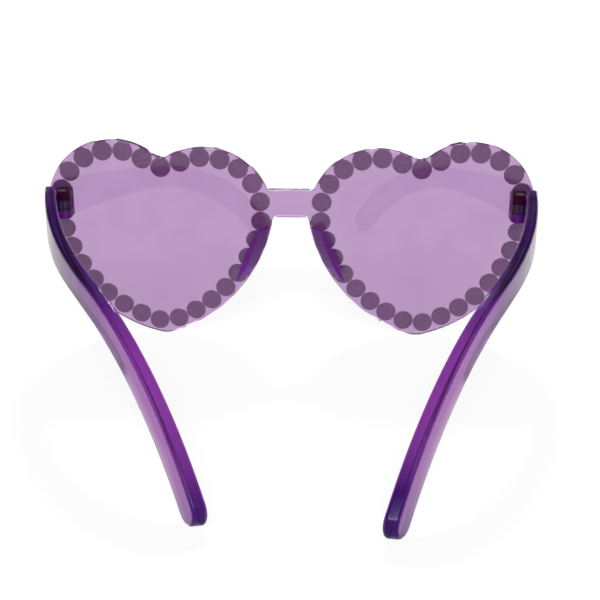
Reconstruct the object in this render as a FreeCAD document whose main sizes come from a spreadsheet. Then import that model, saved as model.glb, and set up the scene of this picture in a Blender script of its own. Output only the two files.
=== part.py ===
# Heart shaped sunglasses with a rim of half pearls.
# Millimetres. +X is the wearer's right, +Y forward, +Z up. The origin is the middle of the bridge's back face.
import FreeCAD, Part
import math
import os
import re

import Sketcher

Vector = FreeCAD.Vector
Placement = FreeCAD.Placement
Rotation = FreeCAD.Rotation

# Driving dimensions, in millimetres and degrees

SIZES = {
    # The sheet: two hearts and the bridge. Each heart leans: its tip lies nearer to the nose than its cleft.
    "lens_thickness": 2.2,
    "edge_round": 0.5,
    "heart_gap": 11.0,
    "inner_lobe_radius": 20.6,
    "outer_lobe_radius": 19.6,
    "lobe_spacing": 27.2,
    "lobe_drop": 3.5,
    "outer_lobe_rise": 3.0,
    "cleft_radius": 4.4,
    "tip_radius": 8.5,
    "tip_shift": 12.8,
    "tip_drop": 30.0,
    "inner_side_flare": 16.6,
    "outer_side_flare": 10.2,
    "bridge_height": 8.6,
    "bridge_round": 1.5,
    # The pearls
    "pearl_diameter": 6.0,
    "pearl_gap": 0.05,
    "pearl_margin": 0.4,
    "glue_film": 0.05,
    # The nose pads
    "pad_top": 7.2,
    "pad_height": 15.6,
    "pad_root_width": 3.6,
    "pad_rear_width": 1.6,
    "pad_end_width": 0.8,
    "pad_margin": 0.3,
    "pad_depth": 5.5,
    "pad_splay": 3.2,
    "pad_round": 0.35,
    # The hinges
    "pin_inset": 5.3,
    "pin_setback": 4.0,
    "hinge_height": 8.4,
    "hinge_lift": 0.4,
    "hinge_clearance": 0.3,
    "hinge_web": 1.2,
    "hinge_round": 0.4,
    "knuckle_radius": 2.3,
    "knuckle_height": 2.8,
    "knuckle_play": 0.15,
    "screw_radius": 0.7,
    "screw_clearance": 0.05,
    "screw_head_radius": 1.3,
    "screw_head_height": 0.8,
    "screw_slot_width": 0.4,
    "screw_slot_depth": 0.35,
    # The temples
    "temple_thickness": 3.4,
    "temple_stem_thickness": 2.4,
    "temple_top": 5.5,
    "temple_height": 11.8,
    "temple_straight": 59.0,
    "temple_low_straight": 48.0,
    "temple_reach": 117.0,
    "temple_drop": 41.2,
    "temple_top_slope": 8.1,
    "temple_bottom_slope": 3.5,
    "temple_tip_radius": 3.9,
    "temple_inward_radius": 186.0,
    "temple_curve": 65.5,
    "temple_round": 0.8,
    "temple_corner": 2.5,
    "left_fold": 12.0,
    "right_fold": 7.3,
}

doc = FreeCAD.newDocument("heart_sunglasses")
sheet = doc.addObject("Spreadsheet::Sheet", "Sizes")
for row, (alias, value) in enumerate(SIZES.items(), start=1):
    sheet.set("A%d" % row, alias)
    sheet.set("B%d" % row, str(value))
    sheet.setAlias("B%d" % row, alias)
doc.recompute()


def size(alias):
    """The value of one driving dimension."""
    return float(getattr(sheet, alias))


def cells(text):
    """The text as an expression over the sheet."""
    return re.sub(r"[a-z_]+", lambda found: ("Sizes." if found[0] in SIZES else "") + found[0], text)


def bind(item, **properties):
    """Binds properties to the sheet. A double underscore stands for the dot in a property's path."""
    for path, text in properties.items():
        item.setExpression(path.replace("__", "."), cells(text))


# How near two directions, or two places in millimetres, must be to count as the same
ANGLE_TOLERANCE = 1e-6
PLACE_TOLERANCE = 1e-4

# How often a search halves its range
HALVINGS = 50

# The angle that a turned piece is given before its own, as a turn of nothing has no axis
FIRST_TURN = 1

# Lengths that several pieces share, as expressions

INNER_LOBE_X = "(heart_gap / 2 + inner_lobe_radius)"
PIN_X = "(heart_gap / 2 + inner_lobe_radius + lobe_spacing + outer_lobe_radius - pin_inset)"
TEMPLE_OUTSIDE = "(knuckle_radius + hinge_clearance + temple_stem_thickness)"
TEMPLE_FRONT = "(pin_setback - hinge_clearance)"
SLOT_HEIGHT = "(knuckle_height + 2 * knuckle_play)"
HINGE_TOP = "(hinge_lift + hinge_height / 2)"
HINGE_BOTTOM = "(hinge_lift - hinge_height / 2)"

# Sketch and feature helpers


def new_body(name):
    """An empty body."""
    return doc.addObject("PartDesign::Body", name)


def origin_plane(body, role):
    """One of the body's own origin planes."""
    return next(plane for plane in body.Origin.OriginFeatures if plane.Role == role)


def new_sketch(body, name, role):
    """An empty sketch on one of the body's origin planes."""
    sketch = body.newObject("Sketcher::SketchObject", name)
    sketch.AttachmentSupport = (origin_plane(body, role), [""])
    sketch.MapMode = "FlatFace"
    return sketch


def draw_line(sketch, start, end):
    """Adds a straight edge."""
    sketch.addGeometry(Part.LineSegment(start, end), False)


def draw_arc(sketch, centre, start, end):
    """Adds an arc that runs anticlockwise from start to end."""
    first = math.atan2(start.y - centre.y, start.x - centre.x)
    last = math.atan2(end.y - centre.y, end.x - centre.x)
    if last < first:
        last += 2 * math.pi
    circle = Part.Circle(centre, Vector(0, 0, 1), (start - centre).Length)
    sketch.addGeometry(Part.ArcOfCircle(circle, first, last), False)


def join(sketch, kind, *ends):
    """Ties two edges together at their ends, or at their centres."""
    sketch.addConstraint(Sketcher.Constraint(kind, *ends))


def dimension(sketch, kind, text, *ends):
    """Adds a dimension at its drawn value and binds it to the sheet."""
    if kind == "Radius":
        drawn = sketch.Geometry[ends[0]].Radius
    else:
        step = sketch.getPoint(*ends[2:]) - sketch.getPoint(*ends[:2])
        drawn = step.x if kind == "DistanceX" else step.y
    index = sketch.addConstraint(Sketcher.Constraint(kind, *ends, drawn))
    sketch.setExpression("Constraints[%d]" % index, cells(text))


def pad(body, name, sketch, length, side="One side", backwards=False):
    """A pad of one sketch."""
    feature = body.newObject("PartDesign::Pad", name)
    feature.Profile = sketch
    feature.SideType = side
    feature.Reversed = backwards
    bind(feature, Length=length)
    return feature


def primitive(kind, name, at=("0", "0", "0"), **properties):
    """A box or cylinder whose sizes and corner or base point follow the sheet."""
    item = doc.addObject("Part::" + kind, name)
    bind(item, **properties)
    bind(item, Placement__Base__x=at[0], Placement__Base__y=at[1], Placement__Base__z=at[2])
    return item


def fuse(name, *items):
    """The union of several items."""
    item = doc.addObject("Part::MultiFuse", name)
    item.Shapes = list(items)
    item.Refine = True
    return item


def cut(name, base, tool):
    """The base without the tool."""
    item = doc.addObject("Part::Cut", name)
    item.Base = base
    item.Tool = tool
    return item


def round_edges(name, base, radius, wanted):
    """Rounds the edges of the base that pass the wanted test."""
    item = doc.addObject("Part::Fillet", name)
    item.Base = base
    edges = enumerate(base.Shape.Edges, start=1)
    item.Edges = [(number, size(radius), size(radius)) for number, edge in edges if wanted(edge)]
    return item


def is_line_along(edge, axis):
    """True for a straight edge parallel to the axis."""
    straight = edge.Curve.TypeId == "Part::GeomLine"
    return straight and abs(abs(edge.Curve.Direction.dot(axis)) - 1) < ANGLE_TOLERANCE


def place_pair(name, source, fold=("0", "0")):
    """A right and a left piece from one that is drawn about the right hinge pin's axis.

    fold gives how far the left and the right piece are turned inwards about that axis.
    """
    right = doc.addObject("Part::Refine", "right_" + name)
    left = doc.addObject("Part::Mirroring", "left_" + name)
    left.Normal = Vector(1, 0, 0)
    for item, pin_x, axis, turn in ((left, "-" + PIN_X, Vector(0, 0, 1), fold[0]),
                                    (right, PIN_X, Vector(0, 0, -1), fold[1])):
        item.Source = source
        item.Placement = Placement(Vector(), Rotation(axis, FIRST_TURN))
        bind(item, Placement__Base__x=pin_x, Placement__Base__y="-pin_setback", Placement__Rotation__Angle=turn)
    return [left, right]


# The heart's outline: six arcs, each tangent to the next


def meeting_point(first, first_reach, second, second_reach, side):
    """The point at given distances from two others, to the left (1) or right (-1) of the way between them."""
    way = second - first
    along = (way.Length ** 2 + first_reach ** 2 - second_reach ** 2) / (2 * way.Length)
    off = math.sqrt(first_reach ** 2 - along ** 2)
    way.normalize()
    return first + way * along + Vector(-way.y, way.x, 0) * (side * off)


def touch(centre, other, radius):
    """The point of a circle that lies towards another circle's centre."""
    way = other - centre
    way.normalize()
    return centre + way * radius


class Heart:
    """The right heart in its own plane: x along the front, y upwards."""

    def __init__(self):
        outer, inner, tip = size("outer_lobe_radius"), size("inner_lobe_radius"), size("tip_radius")
        cleft = size("cleft_radius")
        self.inner_lobe = Vector(size("heart_gap") / 2 + inner, -size("lobe_drop"), 0)
        self.outer_lobe = self.inner_lobe + Vector(size("lobe_spacing"), size("outer_lobe_rise"), 0)
        self.tip = self.inner_lobe + Vector(size("tip_shift"), -size("tip_drop"), 0)
        self.outer_side_radius = self.side_radius(self.outer_lobe, outer) + size("outer_side_flare")
        self.inner_side_radius = self.side_radius(self.inner_lobe, inner) + size("inner_side_flare")
        self.cleft = meeting_point(self.inner_lobe, inner + cleft, self.outer_lobe, outer + cleft, 1)
        self.outer_side = meeting_point(self.outer_lobe, self.outer_side_radius - outer,
                                        self.tip, self.outer_side_radius - tip, -1)
        self.inner_side = meeting_point(self.inner_lobe, self.inner_side_radius - inner,
                                        self.tip, self.inner_side_radius - tip, 1)

    def side_radius(self, lobe, lobe_radius):
        """The least radius of a side arc that takes in both the lobe and the tip."""
        return ((lobe - self.tip).Length + lobe_radius + size("tip_radius")) / 2

    def arcs(self, inset=0.0):
        """Centre, start and end of each arc, anticlockwise, moved inwards by the inset."""
        at_outer_tip = touch(self.outer_side, self.tip, self.outer_side_radius - inset)
        at_outer_lobe = touch(self.outer_side, self.outer_lobe, self.outer_side_radius - inset)
        at_inner_tip = touch(self.inner_side, self.tip, self.inner_side_radius - inset)
        at_inner_lobe = touch(self.inner_side, self.inner_lobe, self.inner_side_radius - inset)
        cleft_out = touch(self.cleft, self.outer_lobe, size("cleft_radius") + inset)
        cleft_in = touch(self.cleft, self.inner_lobe, size("cleft_radius") + inset)
        return (
            (self.tip, at_inner_tip, at_outer_tip),
            (self.outer_side, at_outer_tip, at_outer_lobe),
            (self.outer_lobe, at_outer_lobe, cleft_out),
            (self.cleft, cleft_in, cleft_out),
            (self.inner_lobe, cleft_in, at_inner_lobe),
            (self.inner_side, at_inner_lobe, at_inner_tip),
        )


heart = Heart()

# Numbers of the heart's arcs in its sketch, and of an arc's start, end and centre
TIP, OUTER_SIDE, OUTER_LOBE, CLEFT, INNER_LOBE, INNER_SIDE = range(6)
START, END, CENTRE = 1, 2, 3
ORIGIN = (-1, START)


def draw_heart(sketch):
    """The outline of the right heart, tied by its arcs' centres and radii."""
    for centre, start, end in heart.arcs():
        draw_arc(sketch, centre, start, end)
    join(sketch, "Tangent", TIP, END, OUTER_SIDE, START)
    join(sketch, "Tangent", OUTER_SIDE, END, OUTER_LOBE, START)
    join(sketch, "Tangent", OUTER_LOBE, END, CLEFT, END)
    join(sketch, "Tangent", CLEFT, START, INNER_LOBE, START)
    join(sketch, "Tangent", INNER_LOBE, END, INNER_SIDE, START)
    join(sketch, "Tangent", INNER_SIDE, END, TIP, START)
    dimension(sketch, "DistanceX", INNER_LOBE_X, *ORIGIN, INNER_LOBE, CENTRE)
    dimension(sketch, "DistanceY", "lobe_drop", INNER_LOBE, CENTRE, *ORIGIN)
    dimension(sketch, "DistanceX", "lobe_spacing", INNER_LOBE, CENTRE, OUTER_LOBE, CENTRE)
    dimension(sketch, "DistanceY", "outer_lobe_rise", INNER_LOBE, CENTRE, OUTER_LOBE, CENTRE)
    dimension(sketch, "DistanceX", "tip_shift", INNER_LOBE, CENTRE, TIP, CENTRE)
    dimension(sketch, "DistanceY", "tip_drop", TIP, CENTRE, INNER_LOBE, CENTRE)
    dimension(sketch, "Radius", "tip_radius", TIP)
    dimension(sketch, "Radius", "outer_lobe_radius", OUTER_LOBE)
    dimension(sketch, "Radius", "inner_lobe_radius", INNER_LOBE)
    dimension(sketch, "Radius", "cleft_radius", CLEFT)
    outer_span = "sqrt((lobe_spacing - tip_shift) ^ 2 + (tip_drop + outer_lobe_rise) ^ 2)"
    inner_span = "sqrt(tip_shift ^ 2 + tip_drop ^ 2)"
    dimension(sketch, "Radius", "(" + outer_span + " + outer_lobe_radius + tip_radius) / 2 + outer_side_flare",
              OUTER_SIDE)
    dimension(sketch, "Radius", "(" + inner_span + " + inner_lobe_radius + tip_radius) / 2 + inner_side_flare",
              INNER_SIDE)


def draw_bridge(sketch):
    """A bar between the middles of the two inner lobes."""
    half_length = heart.inner_lobe.x
    half_height = size("bridge_height") / 2
    corners = [Vector(x, y, 0) for x, y in (
        (-half_length, -half_height), (half_length, -half_height), (half_length, half_height),
        (-half_length, half_height))]
    for side, corner in enumerate(corners):
        draw_line(sketch, corner, corners[(side + 1) % len(corners)])
    for side in range(len(corners)):
        join(sketch, "Coincident", side, END, (side + 1) % len(corners), START)
    bottom, right, top, left = range(len(corners))
    for side in (bottom, top):
        join(sketch, "Horizontal", side)
    for side in (right, left):
        join(sketch, "Vertical", side)
    dimension(sketch, "DistanceX", INNER_LOBE_X, *ORIGIN, right, START)
    dimension(sketch, "DistanceX", INNER_LOBE_X, left, START, *ORIGIN)
    dimension(sketch, "DistanceY", "bridge_height / 2", *ORIGIN, top, START)
    dimension(sketch, "DistanceY", "bridge_height / 2", bottom, START, *ORIGIN)


def make_front_lens():
    """One flat sheet: the bridge, the right heart, its mirror image, and rounded edges."""
    body = new_body("front_lens")
    bridge_sketch = new_sketch(body, "bridge_outline", "XZ_Plane")
    draw_bridge(bridge_sketch)
    pad(body, "bridge", bridge_sketch, "lens_thickness", backwards=True)
    heart_sketch = new_sketch(body, "heart_outline", "XZ_Plane")
    draw_heart(heart_sketch)
    right_heart = pad(body, "right_heart", heart_sketch, "lens_thickness", backwards=True)
    both = body.newObject("PartDesign::Mirrored", "both_hearts")
    both.Originals = [right_heart]
    both.MirrorPlane = (origin_plane(body, "YZ_Plane"), [""])
    body.Tip = both
    doc.recompute()

    def at_bridge_corner(edge):
        above_edge = abs(edge.CenterOfMass.z) - size("bridge_height") / 2
        return is_line_along(edge, Vector(0, 1, 0)) and abs(above_edge) < PLACE_TOLERANCE

    def on_outline(edge):
        return not is_line_along(edge, Vector(0, 1, 0))

    rounded = both
    for name, radius, wanted in (("bridge_corners", "bridge_round", at_bridge_corner),
                                 ("soft_edges", "edge_round", on_outline)):
        numbered = enumerate(rounded.Shape.Edges, start=1)
        names = ["Edge%d" % number for number, edge in numbered if wanted(edge)]
        fillet = body.newObject("PartDesign::Fillet", name)
        fillet.Base = (rounded, names)
        bind(fillet, Radius=radius)
        body.Tip = fillet
        doc.recompute()
        rounded = fillet
    return [body]


# The pearls


def pearl_path():
    """The line of the pearls' middles, as arcs in the order of travel: centre, radius, start angle and turn."""
    inset = size("pearl_margin") + size("pearl_diameter") / 2
    path = []
    for number, (centre, start, end) in enumerate(heart.arcs(inset)):
        if number == CLEFT:
            start, end = end, start
        first = math.atan2(start.y - centre.y, start.x - centre.x)
        last = math.atan2(end.y - centre.y, end.x - centre.x)
        turn = (last - first) % (2 * math.pi)
        if number == CLEFT:
            turn -= 2 * math.pi
        path.append((centre, (start - centre).Length, first, turn))
    return path[CLEFT:] + path[:CLEFT]


def path_length(path):
    """The length of the whole line."""
    return sum(radius * abs(turn) for centre, radius, first, turn in path)


def point_on(path, distance):
    """The point at a distance along the closed line."""
    distance %= path_length(path)
    for centre, radius, first, turn in path:
        length = radius * abs(turn)
        if distance <= length:
            break
        distance -= length
    angle = first + turn * min(distance / length, 1.0)
    return centre + Vector(math.cos(angle), math.sin(angle), 0) * radius


def halved(low, high, too_far):
    """The value between low and high where the test changes, by halving."""
    for step in range(HALVINGS):
        middle = (low + high) / 2
        if too_far(middle):
            high = middle
        else:
            low = middle
    return low


def march(path, start, pitch, steps):
    """Distances along the line of points that lie one pitch apart, measured straight."""
    distances = [start]
    for step in range(steps):
        here = point_on(path, distances[-1])
        farther = halved(pitch, 2 * pitch,
                         lambda ahead: (point_on(path, distances[-1] + ahead) - here).Length > pitch)
        distances.append(distances[-1] + max(farther, pitch))
    return distances


def pearl_middles():
    """Evenly spaced middles, as many as fit, the first of them in the cleft."""
    path = pearl_path()
    total = path_length(path)
    start = path[0][1] * abs(path[0][3]) / 2
    least_pitch = size("pearl_diameter") + size("pearl_gap")
    most = int(total / least_pitch)
    count = sum(1 for reached in march(path, start, least_pitch, most)[1:] if reached <= start + total)
    pitch = halved(least_pitch, 2 * least_pitch,
                   lambda tried: march(path, start, tried, count)[-1] > start + total)
    return [point_on(path, reached) for reached in march(path, start, pitch, count)[:-1]]


def make_pearl_pairs():
    """Half pearls on the front face, one on each heart to a node."""
    pairs = []
    for number, middle in enumerate(pearl_middles(), start=1):
        pearls = []
        for side, sign in (("right", 1), ("left", -1)):
            pearl = doc.addObject("Part::Sphere", "%s_pearl_%02d" % (side, number))
            pearl.Angle1 = 0
            pearl.Angle2 = 90
            pearl.Placement = Placement(Vector(sign * middle.x, 0, middle.y), Rotation(Vector(1, 0, 0), -90))
            bind(pearl, Radius="pearl_diameter / 2", Placement__Base__y="lens_thickness + glue_film")
            pearls.append(pearl)
        pair = doc.addObject("Part::Compound", "pearl_pair_%02d" % number)
        pair.Links = pearls
        pairs.append(pair)
    return pairs


# The nose pads


def pad_wire(depth, shift, middle_width):
    """A crescent beside the nose gap, at a depth behind the sheet and a shift away from the nose."""
    centre = heart.inner_side
    radius = heart.inner_side_radius - size("pad_margin")
    top, height, end_width = size("pad_top"), size("pad_height"), size("pad_end_width")
    sections = ((-top, end_width), (-top - height / 2, middle_width), (-top - height, end_width))
    nose_side = []
    far_side = []
    for level, width in sections:
        angle = math.pi - math.asin((level - centre.y) / radius)
        ray = Vector(math.cos(angle), 0, math.sin(angle))
        middle = Vector(centre.x + shift, -depth, centre.y)
        nose_side.append(middle + ray * radius)
        far_side.append(middle + ray * (radius - width))
    return Part.Wire([
        Part.Arc(*nose_side).toShape(),
        Part.LineSegment(nose_side[-1], far_side[-1]).toShape(),
        Part.Arc(*reversed(far_side)).toShape(),
        Part.LineSegment(far_side[0], nose_side[0]).toShape(),
    ])


def make_nose_pads():
    """Fins that follow the hearts' inner edges and splay away from the nose towards the rear."""
    blank = doc.addObject("Part::Feature", "nose_pad_blank")
    root = pad_wire(0.0, 0.0, size("pad_root_width"))
    rear = pad_wire(size("pad_depth"), size("pad_splay"), size("pad_rear_width"))
    blank.Shape = Part.makeLoft([root, rear], True, True)

    def at_rear(edge):
        return all(abs(end.Y + size("pad_depth")) < PLACE_TOLERANCE for end in edge.Vertexes)

    right = round_edges("right_nose_pad", blank, "pad_round", at_rear)
    left = doc.addObject("Part::Mirroring", "left_nose_pad")
    left.Source = right
    left.Normal = Vector(1, 0, 0)
    return [left, right]


# The hinges, drawn about the right pin's axis: x outwards, y forward, z up


def make_hinge_blocks():
    """A block on the sheet's back with an upper and a lower ear, bored for the screw."""
    neck = primitive("Box", "hinge_neck", ("-knuckle_radius", "0", HINGE_BOTTOM),
                     Length="2 * knuckle_radius", Width="pin_setback", Height="hinge_height")
    barrel = primitive("Cylinder", "hinge_barrel", ("0", "0", HINGE_BOTTOM),
                       Radius="knuckle_radius", Height="hinge_height")
    blank = fuse("hinge_blank", neck, barrel)
    doc.recompute()

    def on_rim(edge):
        heights = [end.Z for end in edge.Vertexes]
        level = max(heights) - min(heights) < PLACE_TOLERANCE
        return level and edge.CenterOfMass.y < size("pin_setback") - PLACE_TOLERANCE

    softened = round_edges("hinge_softened", blank, "hinge_round", on_rim)
    slot = primitive("Box", "hinge_slot", ("-2 * knuckle_radius", "-2 * knuckle_radius",
                                           "hinge_lift - " + SLOT_HEIGHT + " / 2"),
                     Length="4 * knuckle_radius",
                     Width="2 * knuckle_radius + pin_setback - hinge_web", Height=SLOT_HEIGHT)
    bore = primitive("Cylinder", "hinge_bore", ("0", "0", HINGE_BOTTOM),
                     Radius="screw_radius + screw_clearance", Height="hinge_height")
    head_seat = primitive("Cylinder", "hinge_head_seat", ("0", "0", HINGE_TOP + " - screw_head_height"),
                          Radius="screw_head_radius + screw_clearance", Height="screw_head_height")
    block = cut("hinge_block", softened, fuse("hinge_cuts", slot, bore, head_seat))
    return place_pair("hinge_block", block)


def make_hinge_screws():
    """A slotted cheese-head screw from the top of the upper ear to the bottom of the lower one."""
    shank = primitive("Cylinder", "screw_shank", ("0", "0", HINGE_BOTTOM),
                      Radius="screw_radius", Height="hinge_height - screw_slot_depth")
    head = primitive("Cylinder", "screw_head", ("0", "0", HINGE_TOP + " - screw_head_height"),
                     Radius="screw_head_radius", Height="screw_head_height")
    slot = primitive("Box", "screw_slot", ("-2 * screw_head_radius", "-screw_slot_width / 2",
                                           HINGE_TOP + " - screw_slot_depth"),
                     Length="4 * screw_head_radius", Width="screw_slot_width", Height="screw_slot_depth")
    return place_pair("hinge_screw", cut("hinge_screw", fuse("screw_blank", shank, head), slot))


# The temples, drawn fully open about the right pin's axis


def draw_temple_side(sketch):
    """The temple seen from its side: x forward, y up. It runs straight and then bends down to a round tip."""
    front = size("pin_setback") - size("hinge_clearance")
    top, height = size("temple_top"), size("temple_height")
    straight, low_straight = size("temple_straight"), size("temple_low_straight")
    reach, drop = size("temple_reach"), size("temple_drop")
    slope, low_slope = math.radians(size("temple_top_slope")), math.radians(size("temple_bottom_slope"))
    tip_radius = size("temple_tip_radius")
    bend = reach - straight
    end_slope = 2 * math.atan((drop - straight * math.tan(slope)) / bend) - slope
    bend_radius = bend / (math.sin(end_slope) - math.sin(slope))

    def downwards(angle):
        return Vector(math.sin(angle), -math.cos(angle), 0)

    top_front = Vector(front, top + front * math.tan(slope), 0)
    top_bend = Vector(-straight, top - straight * math.tan(slope), 0)
    top_end = Vector(-reach, top - drop, 0)
    tip = top_end + downwards(end_slope) * tip_radius
    low_front = Vector(front, top - height + front * math.tan(low_slope), 0)
    low_bend = Vector(-low_straight, top - height - low_straight * math.tan(low_slope), 0)
    from_tip = low_bend - tip
    tip_fall = tip_radius - downwards(low_slope).dot(from_tip)
    low_radius = (from_tip.Length ** 2 - tip_radius ** 2) / (2 * tip_fall)
    low_centre = low_bend + downwards(low_slope) * low_radius
    low_end = touch(tip, low_centre, tip_radius)

    upper, bend_arc, tip_arc, low_arc, lower, face = range(6)
    draw_line(sketch, top_front, top_bend)
    draw_arc(sketch, top_bend + downwards(slope) * bend_radius, top_bend, top_end)
    draw_arc(sketch, tip, top_end, low_end)
    draw_arc(sketch, low_centre, low_bend, low_end)
    draw_line(sketch, low_bend, low_front)
    draw_line(sketch, low_front, top_front)
    join(sketch, "Tangent", upper, END, bend_arc, START)
    join(sketch, "Tangent", bend_arc, END, tip_arc, START)
    join(sketch, "Tangent", tip_arc, END, low_arc, END)
    join(sketch, "Tangent", low_arc, START, lower, START)
    join(sketch, "Coincident", lower, END, face, START)
    join(sketch, "Coincident", face, END, upper, START)
    dimension(sketch, "DistanceX", TEMPLE_FRONT, *ORIGIN, upper, START)
    dimension(sketch, "DistanceY", "temple_top + " + TEMPLE_FRONT + " * tan(temple_top_slope)",
              *ORIGIN, upper, START)
    dimension(sketch, "DistanceX", "temple_straight", upper, END, *ORIGIN)
    dimension(sketch, "DistanceY", "temple_top - temple_straight * tan(temple_top_slope)",
              *ORIGIN, upper, END)
    dimension(sketch, "DistanceX", "temple_reach", bend_arc, END, *ORIGIN)
    dimension(sketch, "DistanceY", "temple_drop - temple_top", bend_arc, END, *ORIGIN)
    dimension(sketch, "Radius", "temple_tip_radius", tip_arc)
    dimension(sketch, "DistanceX", TEMPLE_FRONT, *ORIGIN, lower, END)
    front_rise = TEMPLE_FRONT + " * tan(temple_bottom_slope)"
    dimension(sketch, "DistanceY", "temple_height - temple_top - " + front_rise, lower, END, *ORIGIN)
    dimension(sketch, "DistanceX", "temple_low_straight", lower, START, *ORIGIN)
    rear_fall = "temple_low_straight * tan(temple_bottom_slope)"
    dimension(sketch, "DistanceY", "temple_height - temple_top + " + rear_fall, lower, START, *ORIGIN)


def draw_temple_plan(sketch):
    """The temple seen from above: x outwards, y forward. A band that curves inwards and then runs straight."""
    front = size("pin_setback") - size("hinge_clearance")
    outside = size("knuckle_radius") + size("hinge_clearance") + size("temple_stem_thickness")
    radius, curve = size("temple_inward_radius"), size("temple_curve")
    end_back = size("temple_reach") + 2 * size("temple_tip_radius")
    centre = Vector(outside - radius, 0, 0)
    ray = Vector(math.sqrt(radius ** 2 - curve ** 2), -curve, 0) / radius
    backwards = Vector(ray.y, -ray.x, 0)
    tail_ends = []
    face_ends = []
    for inset in (0, size("temple_thickness")):
        bend_start = Vector(outside - inset, 0, 0)
        bend_end = centre + ray * (radius - inset)
        face_ends.append(bend_start + Vector(0, front, 0))
        tail_ends.append(bend_end + backwards * ((end_back + bend_end.y) / ray.x))
        draw_line(sketch, face_ends[-1], bend_start)
        draw_arc(sketch, centre, bend_end, bend_start)
        draw_line(sketch, bend_end, tail_ends[-1])
    draw_line(sketch, *tail_ends)
    draw_line(sketch, *face_ends)

    outer_line, outer_arc, outer_tail, inner_line, inner_arc, inner_tail, end_line, face = range(8)
    end_depth = "temple_reach + 2 * temple_tip_radius"
    for line, arc, tail, end, inset in ((outer_line, outer_arc, outer_tail, START, "0"),
                                        (inner_line, inner_arc, inner_tail, END, "temple_thickness")):
        join(sketch, "Tangent", line, END, arc, END)
        join(sketch, "Tangent", arc, START, tail, START)
        join(sketch, "Coincident", tail, END, end_line, end)
        join(sketch, "Coincident", line, START, face, end)
        dimension(sketch, "DistanceX", TEMPLE_OUTSIDE + " - " + inset, *ORIGIN, line, START)
        dimension(sketch, "DistanceY", TEMPLE_FRONT, *ORIGIN, line, START)
        dimension(sketch, "Radius", "temple_inward_radius - " + inset, arc)
        dimension(sketch, "DistanceY", "temple_curve * (1 - " + inset + " / temple_inward_radius)",
                  arc, START, *ORIGIN)
        dimension(sketch, "DistanceY", end_depth, tail, END, *ORIGIN)
    join(sketch, "Coincident", outer_arc, CENTRE, inner_arc, CENTRE)
    join(sketch, "Vertical", outer_line)
    dimension(sketch, "DistanceY", TEMPLE_FRONT, outer_line, END, outer_line, START)


def make_temples():
    """Where the side view and the plan meet, rounded, with a relief for the ears and a bored knuckle."""
    side_body = new_body("temple_side")
    side_sketch = new_sketch(side_body, "temple_side_outline", "YZ_Plane")
    draw_temple_side(side_sketch)
    pad(side_body, "temple_side_pad", side_sketch, "2 * temple_reach", side="Symmetric")
    plan_body = new_body("temple_plan")
    plan_sketch = new_sketch(plan_body, "temple_plan_outline", "XY_Plane")
    draw_temple_plan(plan_sketch)
    pad(plan_body, "temple_plan_pad", plan_sketch, "4 * temple_drop", side="Symmetric")
    blank = doc.addObject("Part::Common", "temple_blank")
    blank.Base = side_body
    blank.Tool = plan_body
    doc.recompute()

    front = size("pin_setback") - size("hinge_clearance")

    def at_front_corner(edge):
        return is_line_along(edge, Vector(1, 0, 0)) and abs(edge.CenterOfMass.y - front) < PLACE_TOLERANCE

    def along_the_arm(edge):
        return not is_line_along(edge, Vector(1, 0, 0))

    cornered = round_edges("temple_cornered", blank, "temple_corner", at_front_corner)
    doc.recompute()
    arm = round_edges("temple_arm", cornered, "temple_round", along_the_arm)

    relief_depth = "(knuckle_radius + hinge_clearance)"
    relief_barrel = primitive("Cylinder", "temple_relief_barrel", ("0", "0", "-temple_height"),
                              Radius=relief_depth, Height="2 * temple_height")
    relief_front = primitive("Box", "temple_relief_front", ("-temple_thickness", "0", "-temple_height"),
                             Length="temple_thickness + " + relief_depth, Width="2 * pin_setback",
                             Height="2 * temple_height")
    relieved = cut("temple_relieved", arm, fuse("temple_relief", relief_barrel, relief_front))
    knuckle_bottom = "hinge_lift - knuckle_height / 2"
    knuckle = primitive("Cylinder", "temple_knuckle", ("0", "0", knuckle_bottom),
                        Radius="knuckle_radius", Height="knuckle_height")
    web = primitive("Box", "temple_web", ("0", "-knuckle_radius", knuckle_bottom),
                    Length=relief_depth + " + temple_stem_thickness / 2", Width="2 * knuckle_radius",
                    Height="knuckle_height")
    bore = primitive("Cylinder", "temple_bore", ("0", "0", "hinge_lift - knuckle_height"),
                     Radius="screw_radius + screw_clearance", Height="2 * knuckle_height")
    temple = cut("temple_open", fuse("temple_with_knuckle", relieved, knuckle, web), bore)
    return place_pair("temple", temple, ("left_fold", "right_fold"))


# Build, check and write

nodes = make_front_lens()
nodes += make_nose_pads()
nodes += make_hinge_blocks()
nodes += make_hinge_screws()
nodes += make_temples()
nodes += make_pearl_pairs()
for node in nodes:
    node.Label = node.Name
doc.recompute()

for item in doc.Objects:
    if "Invalid" in item.State or "Error" in item.State:
        raise RuntimeError("%s failed: %s" % (item.Name, item.State))
for node in nodes:
    if node.Shape.isNull() or not node.Shape.isValid() or not node.Shape.Solids:
        raise RuntimeError("%s has no valid shape" % node.Name)

os.makedirs("parts", exist_ok=True)
for node in nodes:
    node.Shape.exportStep("parts/%s.step" % node.Name)
    box = node.Shape.BoundBox
    print("%-20s solids %d  volume %8.2f  x %7.2f %7.2f  y %7.2f %7.2f  z %7.2f %7.2f" % (
        node.Name, len(node.Shape.Solids), node.Shape.Volume,
        box.XMin, box.XMax, box.YMin, box.YMax, box.ZMin, box.ZMax))
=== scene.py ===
"""Looks of a pair of heart shaped sunglasses: clear purple plastic edged with half pearls.

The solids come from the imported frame. This script gives each of them its material and sets up
the floor, the light and the camera. All lengths are in metres.
"""

import math

import bpy
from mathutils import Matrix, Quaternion, Vector


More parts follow.
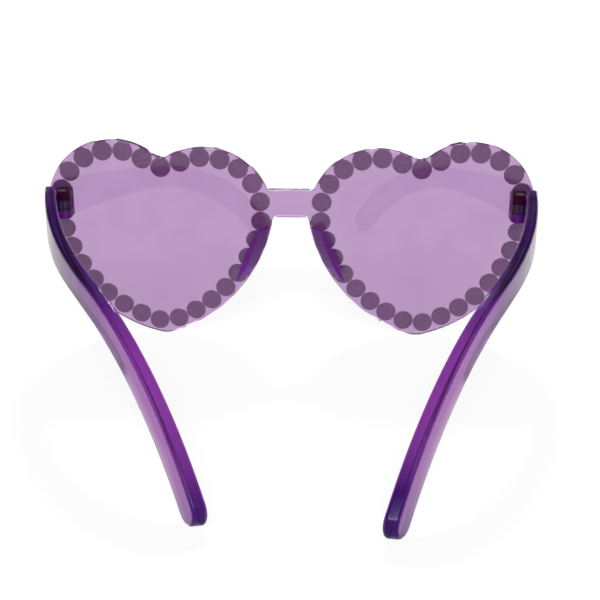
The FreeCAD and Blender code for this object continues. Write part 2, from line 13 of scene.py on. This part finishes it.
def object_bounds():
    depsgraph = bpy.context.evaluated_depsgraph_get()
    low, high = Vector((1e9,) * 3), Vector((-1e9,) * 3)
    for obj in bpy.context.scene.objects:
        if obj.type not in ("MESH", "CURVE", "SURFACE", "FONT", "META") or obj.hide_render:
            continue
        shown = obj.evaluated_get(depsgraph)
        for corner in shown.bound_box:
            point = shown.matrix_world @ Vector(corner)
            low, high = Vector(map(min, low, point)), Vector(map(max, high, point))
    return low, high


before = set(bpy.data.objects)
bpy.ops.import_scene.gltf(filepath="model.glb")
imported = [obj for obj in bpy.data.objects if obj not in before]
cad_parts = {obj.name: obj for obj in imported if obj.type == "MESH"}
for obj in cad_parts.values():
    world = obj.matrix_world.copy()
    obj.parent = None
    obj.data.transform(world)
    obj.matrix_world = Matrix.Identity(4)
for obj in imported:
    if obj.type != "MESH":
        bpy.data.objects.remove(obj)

CAD_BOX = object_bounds()

# The camera stands behind the glasses, on the wearer's side, and looks down on them
CAMERA_AIM = Vector((0.0029, 0.0, -0.0307))
CAMERA_DISTANCE = 0.3276
CAMERA_AZIMUTH = math.radians(1.375)
CAMERA_ELEVATION = math.radians(20.27)
CAMERA_ROLL = math.radians(0.16)
CAMERA_FOCAL_LENGTH = 63.4
CAMERA_CLIP_START = 0.01

# Noise textures: their scale, in waves to the metre, and how many finer layers they have
FLOW_NOISE = (90.0, 1.0)
HANDLING_NOISE = (140.0, 3.0)
PEARL_CLOUD_NOISE = (900.0, 2.0)
PEARL_GRAIN_NOISE = (4000.0, 2.0)
STEEL_GRAIN_NOISE = (3000.0, 3.0)

# The noise values that colours and roughness are spread between
NOISE_RANGE = (0.3, 0.7)

# Bumps: their height and strength
FLOW_BUMP = (0.0004, 0.04)
PEARL_BUMP = (0.00002, 0.2)
STEEL_BUMP = (0.00002, 0.3)

# The plastics: the colours that their surfaces pass on, how much red, green and blue light their insides
# take out over a metre, how much of them is clear, and how far they bend light
LENS_PLASTIC = {
    "colours": ((0.54, 0.37, 0.59, 1.0), (0.51, 0.35, 0.56, 1.0)),
    "absorption_per_metre": (40.0, 75.0, 32.0),
    "clear_part": 1.0,
    "ior": 1.5,
}
TEMPLE_PLASTIC = {
    "colours": ((0.57, 0.49, 0.54, 1.0), (0.52, 0.44, 0.50, 1.0)),
    "absorption_per_metre": (83.0, 275.0, 41.0),
    "clear_part": 0.97,
    "ior": 1.2,
}
MOULDED_PLASTIC = {
    "colours": ((0.42, 0.06, 0.62, 1.0), (0.36, 0.04, 0.54, 1.0)),
    "absorption_per_metre": (150.0, 420.0, 80.0),
    "clear_part": 0.72,
    "ior": 1.12,
}
LENS_ROUGHNESS = (0.0, 0.04)
CLOUDY_ROUGHNESS = (0.10, 0.22)
CLOUDY_COAT_ROUGHNESS = 0.06
TEMPLE_COAT = 0.1
MOULDED_COAT = 0.03

# How much of a darker colour shows at places along the arms, from front to back, and up the hinges
# On the arms the darker colour is painted shade: their narrow faces darker near the hinge and at the tips
TEMPLE_PAINTED_SHADE_COLOUR = (0.03, 0.002, 0.13, 1.0)
TEMPLE_PAINTED_SHADE_DEPTHS = (
    (0.0, 0.6),
    (-0.064, 0.75),
    (-0.082, 0.0),
    (-0.098, 0.0),
    (-0.107, 0.5),
    (-0.113, 1.0),
)
HINGE_DEEP_COLOUR = (0.09, 0.004, 0.06, 1.0)
HINGE_DEPTHS = ((0.001, 0.0), (0.002, 1.0))

# The share of the painted shade that the arms' sides keep, and how far sideways a surface faces, from 0
# to 1, where the painted shade starts to fall and where it is down to that share
SIDE_PAINTED_SHADE_SHARE = 0.25
SIDE_FACING = (0.45, 0.80)

# The pearls and the screws
PEARL_COLOURS = ((0.74, 0.64, 0.63, 1.0), (0.81, 0.73, 0.73, 1.0))
PEARL_ROUGHNESS = (0.22, 0.34)
PEARL_COAT = 0.6
PEARL_COAT_ROUGHNESS = 0.12
PEARL_SHEEN = 0.15
STEEL_COLOURS = ((0.30, 0.27, 0.26, 1.0), (0.46, 0.43, 0.42, 1.0))
STEEL_ROUGHNESS = (0.25, 0.45)

# The studio: the floor, the lamps, and the room, whose light falls from side to top between two heights
FLOOR_SIZE = 6.0
FLOOR_GAP = 0.0002
FLOOR_COLOUR = (0.86, 0.86, 0.86, 1.0)
FLOOR_SHADED_COLOUR = (0.20, 0.20, 0.20, 1.0)
FLOOR_GLOW = 0.86
FRONT_LAMP_STRENGTH = 1.0
FRONT_LAMP_TILT = math.radians(-46)
FRONT_LAMP_SPREAD = math.radians(8)
REAR_LAMP_STRENGTH = 1.6
REAR_LAMP_TILT = math.radians(50)
REAR_LAMP_SPREAD = math.radians(22)
STRIP_LAMP_PLACE = (0.0, 1.2, 0.20)
STRIP_LAMP_SIZE = (1.8, 0.20)
STRIP_LAMP_POWER = 4.5
ROOM_COLOUR = (1.0, 1.0, 1.0, 1.0)
SIDE_LIGHT = 1.0
TOP_LIGHT = 0.06
SIDE_LIGHT_TOP = 0.12
TOP_LIGHT_START = 0.36
REAR_LIGHT_REACH = 0.8


def new_material(name):
    """Returns a new node material with its tree, its shader node and its output node."""
    material = bpy.data.materials.new(name)
    material.use_nodes = True
    nodes = material.node_tree.nodes
    return material, material.node_tree, nodes["Principled BSDF"], nodes["Material Output"]


def add_math(tree, operation, *values):
    """Adds a math node on outputs and numbers and returns its output."""
    node = tree.nodes.new("ShaderNodeMath")
    node.operation = operation
    for socket, value in zip(node.inputs, values):
        if isinstance(value, float):
            socket.default_value = value
        else:
            tree.links.new(value, socket)
    return node.outputs["Value"]


def along_axis(tree, coordinates, axis):
    """Returns one axis of a kind of texture coordinates."""
    place = tree.nodes.new("ShaderNodeTexCoord")
    split = tree.nodes.new("ShaderNodeSeparateXYZ")
    tree.links.new(place.outputs[coordinates], split.inputs["Vector"])
    return split.outputs[axis]


def add_noise(tree, scale, detail):
    """Adds a noise texture in the object's own metres and returns its values."""
    place = tree.nodes.new("ShaderNodeTexCoord")
    noise = tree.nodes.new("ShaderNodeTexNoise")
    noise.inputs["Scale"].default_value = scale
    noise.inputs["Detail"].default_value = detail
    tree.links.new(place.outputs["Object"], noise.inputs["Vector"])
    return noise.outputs["Fac"]


def map_range(tree, source, source_range, new_range):
    """Spreads the source's values in one range over a new one and returns the output."""
    spread = tree.nodes.new("ShaderNodeMapRange")
    limits = ("From Min", "From Max", "To Min", "To Max")
    for limit, value in zip(limits, (*source_range, *new_range)):
        spread.inputs[limit].default_value = value
    tree.links.new(source, spread.inputs["Value"])
    return spread.outputs["Result"]


def two_colours(tree, source, colours):
    """Spreads a texture's values over two colours and returns the output."""
    ramp = tree.nodes.new("ShaderNodeValToRGB")
    for element, position, colour in zip(ramp.color_ramp.elements, NOISE_RANGE, colours):
        element.position = position
        element.color = colour
    tree.links.new(source, ramp.inputs["Fac"])
    return ramp.outputs["Color"]


def add_bump(tree, shader, source, distance, strength):
    """Raises the shader's surface by a texture's values."""
    bump = tree.nodes.new("ShaderNodeBump")
    bump.inputs["Distance"].default_value = distance
    bump.inputs["Strength"].default_value = strength
    tree.links.new(source, bump.inputs["Height"])
    tree.links.new(bump.outputs["Normal"], shader.inputs["Normal"])


def clear_plastic(name, roughness, colours, absorption_per_metre, clear_part, ior):
    """Makes clear or slightly cloudy tinted plastic, darker the further light goes through it."""
    material, tree, shader, output = new_material(name)
    flow = add_noise(tree, *FLOW_NOISE)
    tree.links.new(two_colours(tree, flow, colours), shader.inputs["Base Color"])
    shader.inputs["Transmission Weight"].default_value = clear_part
    shader.inputs["IOR"].default_value = ior
    handling = add_noise(tree, *HANDLING_NOISE)
    tree.links.new(map_range(tree, handling, NOISE_RANGE, roughness), shader.inputs["Roughness"])
    add_bump(tree, shader, flow, *FLOW_BUMP)
    strongest = max(absorption_per_metre)
    absorption = tree.nodes.new("ShaderNodeVolumeAbsorption")
    absorption.inputs["Color"].default_value = (
        *(1.0 - part / strongest for part in absorption_per_metre),
        1.0,
    )
    absorption.inputs["Density"].default_value = strongest
    tree.links.new(absorption.outputs["Volume"], output.inputs["Volume"])
    return material, shader


def lens_plastic():
    """Makes the polished clear sheet of the front."""
    material, _ = clear_plastic("lens_plastic", LENS_ROUGHNESS, **LENS_PLASTIC)
    return material


def cloudy_plastic(name, plastic, coat):
    """Makes moulded plastic that is a little cloudy inside and has a thin glossy skin."""
    material, shader = clear_plastic(name, CLOUDY_ROUGHNESS, **plastic)
    shader.inputs["Coat Weight"].default_value = coat
    shader.inputs["Coat Roughness"].default_value = CLOUDY_COAT_ROUGHNESS
    return material, shader


def depth_along(tree, axis, depths):
    """Returns an output that follows the depths given at places along one of the object's axes."""
    first, last = depths[0][0], depths[-1][0]
    ramp = tree.nodes.new("ShaderNodeValToRGB")
    way = map_range(tree, along_axis(tree, "Object", axis), (first, last), (0.0, 1.0))
    tree.links.new(way, ramp.inputs["Fac"])
    stops = ramp.color_ramp.elements
    while len(stops) < len(depths):
        stops.new(1.0)
    for stop, (position, depth) in zip(stops, depths):
        stop.position = (position - first) / (last - first)
        stop.color = (depth, depth, depth, 1.0)
    return ramp.outputs["Color"]


def less_painted_shade_on_sides(tree, depth):
    """Lowers the arms' painted shade where the surface faces sideways and returns the output."""
    sideways = add_math(tree, "ABSOLUTE", along_axis(tree, "Normal", "X"))
    share = map_range(tree, sideways, SIDE_FACING, (1.0, SIDE_PAINTED_SHADE_SHARE))
    return add_math(tree, "MULTIPLY", depth, share)


def deepen(tree, shader, depth, deep_colour):
    """Mixes as much of a darker colour into the shader's own as the depth says; on the arms it is painted
    shade.
    """
    mix = tree.nodes.new("ShaderNodeMixRGB")
    tree.links.new(depth, mix.inputs["Fac"])
    tree.links.new(shader.inputs["Base Color"].links[0].from_socket, mix.inputs["Color1"])
    mix.inputs["Color2"].default_value = deep_colour
    tree.links.new(mix.outputs["Color"], shader.inputs["Base Color"])


def pad_plastic():
    """Makes the plastic of the nose pads."""
    material, _ = cloudy_plastic("pad_plastic", MOULDED_PLASTIC, MOULDED_COAT)
    return material


def hinge_plastic():
    """Makes the plastic of the hinge blocks, whose upper ears are the darker ones."""
    material, shader = cloudy_plastic("hinge_plastic", MOULDED_PLASTIC, MOULDED_COAT)
    tree = material.node_tree
    deepen(tree, shader, depth_along(tree, "Z", HINGE_DEPTHS), HINGE_DEEP_COLOUR)
    return material


def temple_plastic():
    """Makes the plastic of the arms, with painted shade that darkens their narrow faces at the hinge and
    tip.
    """
    material, shader = cloudy_plastic("temple_plastic", TEMPLE_PLASTIC, TEMPLE_COAT)
    tree = material.node_tree
    # Painted shade: the arms' narrow faces darker near the hinge and at the tips, less on their sides
    depth = less_painted_shade_on_sides(tree, depth_along(tree, "Y", TEMPLE_PAINTED_SHADE_DEPTHS))
    deepen(tree, shader, depth, TEMPLE_PAINTED_SHADE_COLOUR)
    return material


def pearl():
    """Makes the ivory pearl coat of the half pearls."""
    material, tree, shader, _ = new_material("pearl_coat")
    cloud = add_noise(tree, *PEARL_CLOUD_NOISE)
    tree.links.new(two_colours(tree, cloud, PEARL_COLOURS), shader.inputs["Base Color"])
    tree.links.new(map_range(tree, cloud, NOISE_RANGE, PEARL_ROUGHNESS), shader.inputs["Roughness"])
    shader.inputs["Coat Weight"].default_value = PEARL_COAT
    shader.inputs["Coat Roughness"].default_value = PEARL_COAT_ROUGHNESS
    shader.inputs["Sheen Weight"].default_value = PEARL_SHEEN
    add_bump(tree, shader, add_noise(tree, *PEARL_GRAIN_NOISE), *PEARL_BUMP)
    return material


def steel():
    """Makes the turned steel of the hinge screws."""
    material, tree, shader, _ = new_material("screw_steel")
    shader.inputs["Metallic"].default_value = 1.0
    grain = add_noise(tree, *STEEL_GRAIN_NOISE)
    tree.links.new(two_colours(tree, grain, STEEL_COLOURS), shader.inputs["Base Color"])
    tree.links.new(map_range(tree, grain, NOISE_RANGE, STEEL_ROUGHNESS), shader.inputs["Roughness"])
    add_bump(tree, shader, grain, *STEEL_BUMP)
    return material


def finish_of(name):
    """Returns which of the materials a node takes."""
    if name.startswith("pearl"):
        return "pearl"
    if name.endswith("screw"):
        return "screw_steel"
    if name.endswith("temple"):
        return "temple_plastic"
    if name == "front_lens":
        return "lens_plastic"
    if name.endswith("hinge_block"):
        return "hinge_plastic"
    return "pad_plastic"


def dress_nodes():
    """Gives each node of the frame its material."""
    materials = {
        "lens_plastic": lens_plastic(),
        "pad_plastic": pad_plastic(),
        "hinge_plastic": hinge_plastic(),
        "temple_plastic": temple_plastic(),
        "screw_steel": steel(),
        "pearl": pearl(),
    }
    for name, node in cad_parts.items():
        node.data.materials.clear()
        node.data.materials.append(materials[finish_of(name)])


def add_object(name, data):
    """Puts a new object with the given data into the scene and returns it."""
    added = bpy.data.objects.new(name, data)
    bpy.context.scene.collection.objects.link(added)
    return added


def seen_directly(tree):
    """Returns an output that is 1 for camera, glossy and transmission rays and 0 for the rest."""
    path = tree.nodes.new("ShaderNodeLightPath")
    total = path.outputs["Is Camera Ray"]
    for ray in ("Is Glossy Ray", "Is Transmission Ray"):
        total = add_math(tree, "MAXIMUM", total, path.outputs[ray])
    return total


def floor_paper():
    """Makes the floor's pale paper, which shows white where no shadow falls on it."""
    material = bpy.data.materials.new("floor_paper")
    material.use_nodes = True
    tree = material.node_tree
    tree.nodes.clear()
    output = tree.nodes.new("ShaderNodeOutputMaterial")
    paper = tree.nodes.new("ShaderNodeBsdfDiffuse")
    paper.inputs["Color"].default_value = FLOOR_COLOUR
    shaded = tree.nodes.new("ShaderNodeBsdfDiffuse")
    shaded.inputs["Color"].default_value = FLOOR_SHADED_COLOUR
    glow = tree.nodes.new("ShaderNodeEmission")
    glow.inputs["Strength"].default_value = FLOOR_GLOW
    seen = tree.nodes.new("ShaderNodeAddShader")
    tree.links.new(shaded.outputs["BSDF"], seen.inputs[0])
    tree.links.new(glow.outputs["Emission"], seen.inputs[1])
    pick = tree.nodes.new("ShaderNodeMixShader")
    tree.links.new(seen_directly(tree), pick.inputs["Fac"])
    tree.links.new(paper.outputs["BSDF"], pick.inputs[1])
    tree.links.new(seen.outputs["Shader"], pick.inputs[2])
    tree.links.new(pick.outputs["Shader"], output.inputs["Surface"])
    return material


def make_floor():
    """Makes the pale floor just below the glasses."""
    half = FLOOR_SIZE / 2
    height = CAD_BOX[0][2] - FLOOR_GAP
    corners = [(half * x, half * y, height) for x, y in ((-1, -1), (1, -1), (1, 1), (-1, 1))]
    mesh = bpy.data.meshes.new("floor")
    mesh.from_pydata(corners, [], [range(len(corners))])
    mesh.materials.append(floor_paper())
    floor = add_object("floor", mesh)


def make_world():
    """Makes the pale room: white round the foot, dark above, with the white higher behind the glasses."""
    world = bpy.data.worlds.new("studio")
    bpy.context.scene.world = world
    world.use_nodes = True
    tree = world.node_tree
    steepness = add_math(tree, "MULTIPLY_ADD", along_axis(tree, "Generated", "Y"), REAR_LIGHT_REACH, 1.0)
    height = add_math(tree, "MULTIPLY", along_axis(tree, "Generated", "Z"), steepness)
    strength = map_range(tree, height, (SIDE_LIGHT_TOP, TOP_LIGHT_START), (SIDE_LIGHT, TOP_LIGHT))
    background = tree.nodes["Background"]
    tree.links.new(strength, background.inputs["Strength"])
    background.inputs["Color"].default_value = ROOM_COLOUR


def make_lamps():
    """Makes one lamp in front of the glasses, one behind them, and a long low one in front."""
    for name, strength, tilt, spread in (
        ("front_lamp", FRONT_LAMP_STRENGTH, FRONT_LAMP_TILT, FRONT_LAMP_SPREAD),
        ("rear_lamp", REAR_LAMP_STRENGTH, REAR_LAMP_TILT, REAR_LAMP_SPREAD),
    ):
        light = bpy.data.lights.new(name, "SUN")
        light.energy = strength
        light.angle = spread
        lamp = add_object(name, light)
        lamp.rotation_euler = (tilt, 0.0, 0.0)
    light = bpy.data.lights.new("strip_lamp", "AREA")
    light.energy = STRIP_LAMP_POWER
    light.shape = "RECTANGLE"
    light.size, light.size_y = STRIP_LAMP_SIZE
    strip = add_object("strip_lamp", light)
    strip.location = STRIP_LAMP_PLACE
    strip.rotation_euler = (-strip.location).to_track_quat("-Z", "Y").to_euler()


def make_camera():
    """Stands the camera where the photograph was taken from."""
    across = CAMERA_DISTANCE * math.cos(CAMERA_ELEVATION)
    camera = add_object("camera", bpy.data.cameras.new("camera"))
    camera.data.lens = CAMERA_FOCAL_LENGTH
    camera.data.clip_start = CAMERA_CLIP_START
    camera.location = CAMERA_AIM + Vector((
        across * math.sin(CAMERA_AZIMUTH),
        -across * math.cos(CAMERA_AZIMUTH),
        CAMERA_DISTANCE * math.sin(CAMERA_ELEVATION),
    ))
    level = (CAMERA_AIM - camera.location).to_track_quat("-Z", "Y")
    camera.rotation_euler = (level @ Quaternion((0.0, 0.0, 1.0), CAMERA_ROLL)).to_euler()
    bpy.context.scene.camera = camera


bpy.context.scene.view_settings.view_transform = "Standard"
dress_nodes()
make_floor()
make_world()
make_lamps()
make_camera()
